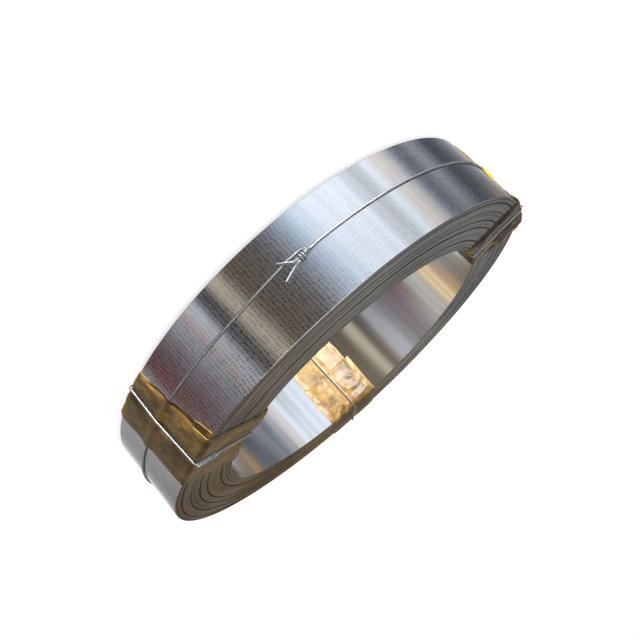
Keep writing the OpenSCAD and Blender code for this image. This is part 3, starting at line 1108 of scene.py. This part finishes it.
# Tones of the studio round the coil: cards, flags and soft boxes, as the steel mirrors them
WINDOW = (0.97, 1.05, 1.17)
COOL = (0.72, 0.85, 1.02)
STEEL_BLUE = (0.37, 0.46, 0.57)
PEARL = (0.66, 0.70, 0.76)
CREAM = (0.86, 0.79, 0.75)
SILVER = (0.60, 0.62, 0.65)
MIST = (0.40, 0.41, 0.43)
HAZE = (0.26, 0.28, 0.33)
TAN = (0.60, 0.53, 0.43)
AMBER = (0.88, 0.70, 0.46)
UMBER = (0.13, 0.105, 0.08)
MAUVE = (0.24, 0.205, 0.235)
PLUM = (0.13, 0.085, 0.09)
GRAPHITE = (0.14, 0.135, 0.13)
SLATE = (0.062, 0.068, 0.082)
DUSK = (0.09, 0.10, 0.13)
COAL = (0.07, 0.068, 0.075)
STORM = (0.16, 0.17, 0.185)
BARK = (0.26, 0.21, 0.155)
STONE = (0.54, 0.51, 0.46)
HEATHER = (0.33, 0.29, 0.31)
HONEY = (0.70, 0.45, 0.23)
OCHRE = (0.44, 0.29, 0.15)
RUST = (0.16, 0.065, 0.065)
ROSE = (0.60, 0.42, 0.40)

# Low ring, mirrored by the tread: direction in degrees and tone, front half and back half
FRONT_RING = (
    (-180, HAZE), (-176, SILVER), (-169, CREAM), (-162, WINDOW), (-158, PEARL), (-152, PEARL),
    (-145, WINDOW), (-129, WINDOW), (-120, COOL), (-113, STEEL_BLUE), (-107, HAZE), (-100, GRAPHITE),
    (-84, UMBER), (-79, UMBER), (-74, TAN), (-69, TAN), (-65, COAL), (-58, COAL), (-54, PEARL),
    (-50, PEARL), (-47, ROSE), (-45, MIST), (-40, MIST), (-34, MAUVE), (-24, PLUM), (-19, RUST),
    (-13, RUST), (-6, MIST), (0, SILVER),
)
BACK_RING = (
    (0, SILVER), (8, AMBER), (19, AMBER), (25, MIST), (46, MIST), (54, STONE), (63, WINDOW), (69, WINDOW),
    (76, UMBER), (104, UMBER), (111, SILVER), (118, SILVER), (124, MIST), (131, HAZE), (139, STORM),
    (148, DUSK), (154, DUSK), (160, HAZE), (166, MIST), (171, HAZE), (175, STORM), (180, HAZE),
)
# Ring just above it, mirrored by the bore
BORE_FRONT_RING = (
    (-180, HAZE), (-176, MIST), (-172, MIST), (-167, CREAM), (-160, WINDOW), (-112, WINDOW), (-96, BARK),
    (-78, BARK), (-73, TAN), (-70, TAN), (-66, BARK), (-63, BARK), (-58, STONE), (-54, SILVER),
    (-48, SILVER), (-43, MIST), (-36, HEATHER), (-27, HEATHER), (-21, MIST), (-14, STONE), (0, STONE),
)
BORE_BACK_RING = (
    (0, STONE), (3, STONE), (8, AMBER), (14, AMBER), (21, HONEY), (29, OCHRE), (37, BARK), (66, BARK),
    (78, UMBER), (100, UMBER), (108, BARK), (128, BARK), (136, OCHRE), (142, OCHRE), (148, STORM),
    (165, STORM), (172, HAZE), (180, HAZE),
)
# High ring, mirrored by the upper end
HIGH_RING = (
    (-180, STORM), (-95, STORM), (-70, SLATE), (-15, SLATE), (10, STORM), (48, STORM), (66, UMBER),
    (88, UMBER), (97, MIST), (112, MIST), (124, STORM), (180, STORM),
)
# Ring near the floor, mirrored by the wires alone
FLOOR_RING = (
    (-180, MIST), (-165, WINDOW), (-118, WINDOW), (-102, DUSK), (20, DUSK), (130, DUSK), (180, MIST),
)

# Heights over the horizon, in degrees, between which one part of the studio gives way to the next
FLOOR_BLEND = (-30.0, -38.0)
BORE_BLEND = (-12.9, -11.8)
HORIZON_BLEND = (-5.0, 5.0)
CEILING_BLEND = (24.0, 36.0)
# Gain of the low and the high ring between two heights
LOW_GAIN = (-14.0, -25.0, 0.86, 1.16)
HIGH_GAIN = (7.0, 19.0, 0.32, 2.6)
# Window, which is wider near the floor: its middle in degrees, its reach in shares of a turn, and its
# spread between two heights
WINDOW_MIDDLE = -140.0
WINDOW_REACH = (0.14, 0.25)
WINDOW_SPREAD = (-13.0, -25.0, 0.03, -0.11)
# Flag over a card beside the coil: the directions where it begins and ends, heights, and the light it leaves
FLAG_RISE = (-59, -54)
FLAG_FALL = (-39, -32)
FLAG_ABOVE = (-20.0, -17.0)
FLAG_TONE = 0.4
# Brighter board in the high ring, over the end's left side, in the same way, and its gain
BOARD_RISE = (63, 69)
BOARD_FALL = (83, 91)
BOARD_ABOVE = (14.8, 17.8)
BOARD_GAIN = 3.2
# Ceiling: its fill for dull surfaces, and for mirrors a dark field, a bright tube and a paler top
CEILING_FILL = 0.42
CEILING_FIELD = 0.08
CEILING_TOP = 0.45
TOP_BLEND = (67.0, 74.0)
TUBE_RISE = (53.0, 56.0)
TUBE_FALL = (64.0, 67.0)
TUBE_TONE = 2.0


def share_of_turn(degrees):
    return (degrees + 180) / 360


def ring(net, turn, tones):
    """The tones of a ring by share of a turn, from its first direction to its last."""
    first = tones[0][0]
    last = tones[-1][0]
    share = net.span(turn, share_of_turn(first), share_of_turn(last), smooth=False)
    return net.ramp(share, [((angle - first) / (last - first), (*tone, 1.0)) for angle, tone in tones])


def halves(net, turn, front, back):
    return net.blend(net.math("GREATER_THAN", turn, 0.5), ring(net, turn, front), ring(net, turn, back))


def between(net, value, rise, fall):
    """1 from the end of rise to the beginning of fall, 0 outside both."""
    return net.times(net.span(value, *rise), net.span(value, *fall, 1.0, 0.0))


def card(net, turn, height, rise, fall, above):
    """1 on a card of the studio, 0 off it."""
    rise = [share_of_turn(degrees) for degrees in rise]
    fall = [share_of_turn(degrees) for degrees in fall]
    return net.times(between(net, turn, rise, fall), net.span(height, *above))


def make_studio():
    """The studio as a world: rings of tones by height, cards on them, a ceiling and a white background."""
    world = bpy.data.worlds.new("studio")
    bpy.context.scene.world = world
    world.use_nodes = True
    net = Net(world.node_tree)
    sky = net.tree.nodes["Background"]
    x, y, z = net.parts(net.add("ShaderNodeTexCoord").outputs["Generated"])
    turn = net.plus(net.math("DIVIDE", net.math("ARCTAN2", y, x), 2 * math.pi), 0.5)
    height = net.times(net.math("ARCSINE", z), 180 / math.pi)
    ripple = net.noise(net.vector(net.times(turn, 110.0), net.times(height, 0.05), 0.0), 1.0)
    middle = share_of_turn(WINDOW_MIDDLE)
    off_window = net.math("WRAP", net.minus(turn, middle), 0.5, -0.5)
    near_window = net.span(net.math("ABSOLUTE", off_window), *WINDOW_REACH, 1.0, 0.0)
    spread = net.times(net.span(height, *WINDOW_SPREAD, smooth=False), near_window)
    off_window = net.times(off_window, net.plus(spread, 1.0))
    low_turn = net.math("FRACT", net.plus(off_window, middle))
    low = net.scaled(halves(net, low_turn, FRONT_RING, BACK_RING), net.span(height, *LOW_GAIN))
    flag = card(net, turn, height, FLAG_RISE, FLAG_FALL, FLAG_ABOVE)
    low = net.scaled(low, net.span(flag, 0.0, 1.0, 1.0, FLAG_TONE))
    low = net.blend(net.span(height, *FLOOR_BLEND), low, ring(net, turn, FLOOR_RING))
    streaks = net.noise(net.vector(net.times(turn, 300.0), 0.0, 5.0), 1.0)
    inner = halves(net, turn, BORE_FRONT_RING, BORE_BACK_RING)
    inner = net.scaled(inner, net.span(streaks, 0.3, 0.7, 0.78, 1.22))
    low = net.blend(net.span(height, *BORE_BLEND), low, inner)
    low = net.scaled(low, net.span(ripple, 0.25, 0.75, 0.84, 1.16))
    high = net.scaled(ring(net, turn, HIGH_RING), net.span(height, *HIGH_GAIN))
    board = card(net, turn, height, BOARD_RISE, BOARD_FALL, BOARD_ABOVE)
    high = net.scaled(high, net.span(board, 0.0, 1.0, 1.0, BOARD_GAIN))
    rays = net.add("ShaderNodeLightPath").outputs
    top = net.blend(net.span(height, *TOP_BLEND), grey(CEILING_FIELD), grey(CEILING_TOP))
    mirrored = net.blend(between(net, height, TUBE_RISE, TUBE_FALL), top, grey(TUBE_TONE))
    ceiling = net.blend(rays["Is Glossy Ray"], grey(CEILING_FILL), mirrored)
    overhead = net.blend(net.span(height, *CEILING_BLEND), high, ceiling)
    seen = net.blend(net.span(height, *HORIZON_BLEND), low, overhead)
    net.put(sky.inputs["Color"], net.blend(rays["Is Camera Ray"], seen, grey(1.0)))
    sky.inputs["Strength"].default_value = 1.0


# Lights: places and aims in metres, powers in watts
LIGHT_SIZE = 0.5
KEY_PLACE = (-0.70, -0.93, -0.40)
KEY_AIM = (0.0, 0.05, 0.04)
KEY_POWER = 42.0
SHINE_POWER = 24.0
LAMP_PLACE = (-0.28, -1.03, -0.36)
LAMP_AIM = (0.03, 0.14, 0.05)
LAMP_POWER = 14.0
GLEAM_POWER = 20.0


def make_light(name, place, aim, power, only=None):
    """A round soft light, on all pieces or only on some."""
    data = bpy.data.lights.new(name, "AREA")
    data.shape = "DISK"
    data.size = LIGHT_SIZE
    data.energy = power
    light = bpy.data.objects.new(name, data)
    light.location = place
    light.rotation_euler = (Vector(aim) - Vector(place)).to_track_quat("-Z", "Y").to_euler()
    bpy.context.scene.collection.objects.link(light)
    if only:
        lit = bpy.data.collections.new(name + "_on")
        for piece in only:
            lit.objects.link(piece)
        light.light_linking.receiver_collection = lit
    return light


def make_lights(bright_wires, bore_paper):
    """A soft key for dull surfaces, its shine on some wires, a lamp and its gleam on the paper in the bore.

    The strip mirrors the cards and none of the lamps.
    """
    key = make_light("key", KEY_PLACE, KEY_AIM, KEY_POWER)
    key.visible_glossy = False
    shine = make_light("shine", KEY_PLACE, KEY_AIM, SHINE_POWER, only=bright_wires)
    shine.visible_diffuse = False
    make_light("bore_lamp", LAMP_PLACE, LAMP_AIM, LAMP_POWER, only=[bore_paper])
    gleam = make_light("bore_gleam", LAMP_PLACE, LAMP_AIM, GLEAM_POWER, only=[bore_paper])
    gleam.visible_diffuse = False


# Camera: distance in mm from the coil's middle, and angles
CAMERA_DISTANCE = 690.6
CAMERA_RISE = math.radians(14.2)
CAMERA_ROLL = math.radians(-223.18)
CAMERA_YAW = math.radians(-0.51)
CAMERA_PITCH = math.radians(-1.73)
CAMERA_LENS = 40.55


def make_camera():
    """The photograph's view: from the front, a little above the upper end, with the camera rolled."""
    middle = Vector((0.0, 0.0, (COIL_LOW + COIL_HIGH) / 2))
    back = Vector((0.0, -math.cos(CAMERA_RISE), math.sin(CAMERA_RISE)))
    right = Vector((1.0, 0.0, 0.0))
    up = back.cross(right)
    ahead = (math.tan(CAMERA_YAW) * right + math.tan(CAMERA_PITCH) * up - back).normalized()
    right = ahead.cross(up).normalized()
    up = right.cross(ahead)
    roll_cos = math.cos(CAMERA_ROLL)
    roll_sin = math.sin(CAMERA_ROLL)
    rolled_right = roll_cos * right + roll_sin * up
    rolled_up = roll_cos * up - roll_sin * right
    data = bpy.data.cameras.new("camera")
    data.lens = CAMERA_LENS
    data.sensor_width = 36.0
    data.clip_start = 0.01
    camera = bpy.data.objects.new("camera", data)
    turned = Matrix((rolled_right, rolled_up, -ahead)).transposed().to_4x4()
    camera.matrix_world = Matrix.Translation((middle + CAMERA_DISTANCE * back) * MM) @ turned
    bpy.context.scene.collection.objects.link(camera)
    bpy.context.scene.camera = camera


make_camera()
make_floor()
make_studio()
bpy.context.scene.view_settings.view_transform = "Standard"

make_coil(bright_strip_material(), strip_edge_material())
wire_finish = wire_material()
wire_tree = drawn_wire_tree()
girth = make_wire("girth_binding", girth_route(), wire_tree, wire_finish, "girth_wire", SEAT)
ties = []
for number, wrap in enumerate(WRAPS, start=1):
    route = tie_route(wrap.angle, on_end=(number == 1))
    name = f"tie_binding_{number}"
    ties.append(make_wire(name, route, wire_tree, wire_finish, f"tie_wire_{number}", LIFT - WIRE_R))
paper_finish = paper_material()
papers = []
for number, wrap in enumerate(WRAPS, start=1):
    papers.append(make_paper(f"kraft_wrap_{number}", wrap, paper_finish, f"paper_wrap_{number}"))
for piece in ties + papers:
    piece.visible_glossy = False
make_lights([girth, ties[0]], papers[1])
